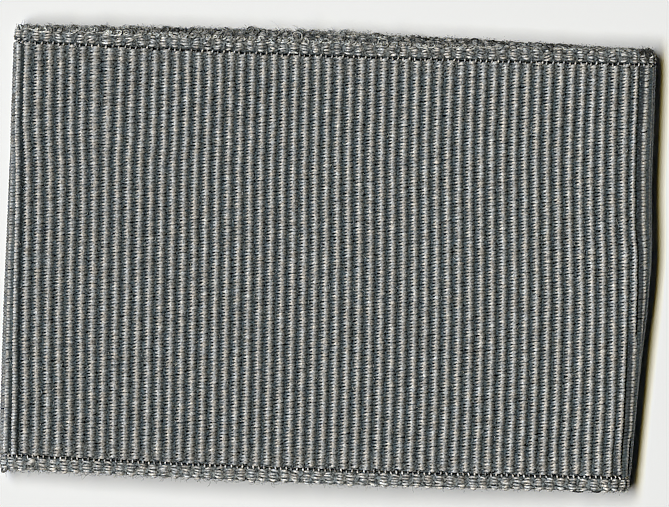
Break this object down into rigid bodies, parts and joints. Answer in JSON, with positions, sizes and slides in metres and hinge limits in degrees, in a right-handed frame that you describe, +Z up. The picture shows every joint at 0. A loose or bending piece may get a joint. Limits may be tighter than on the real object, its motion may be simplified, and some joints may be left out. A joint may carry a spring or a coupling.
{
  "type": "shoulder loop",
  "caption": "Slip-on shoulder loop: ribbed ribbon folded into a flat hollow loop, lapped at the back, open at both ends so that a shoulder strap passes through.",
  "frame": {"origin": "middle of the loop seen from above, on the surface that its back lies on", "axes": "+X from fold to fold, to the right as the face is seen; +Y along the ribs, to the knitted selvedge; +Z up out of the face"},
  "size_m": [0.0546, 0.038, 0.0042],
  "materials": {
    "web_cloth": "ribbed weave of mid grey yarns, matt with a faint sheen along the ribs",
    "selvedge_cloth": "narrow woven and knitted edges of the same grey yarns, matt and slightly hairy"
  },
  "bodies": {
    "root": {"ribbed_web": "web_cloth", "knitted_selvedge": "selvedge_cloth", "turned_selvedge": "selvedge_cloth"}
  },
  "joints": []
}
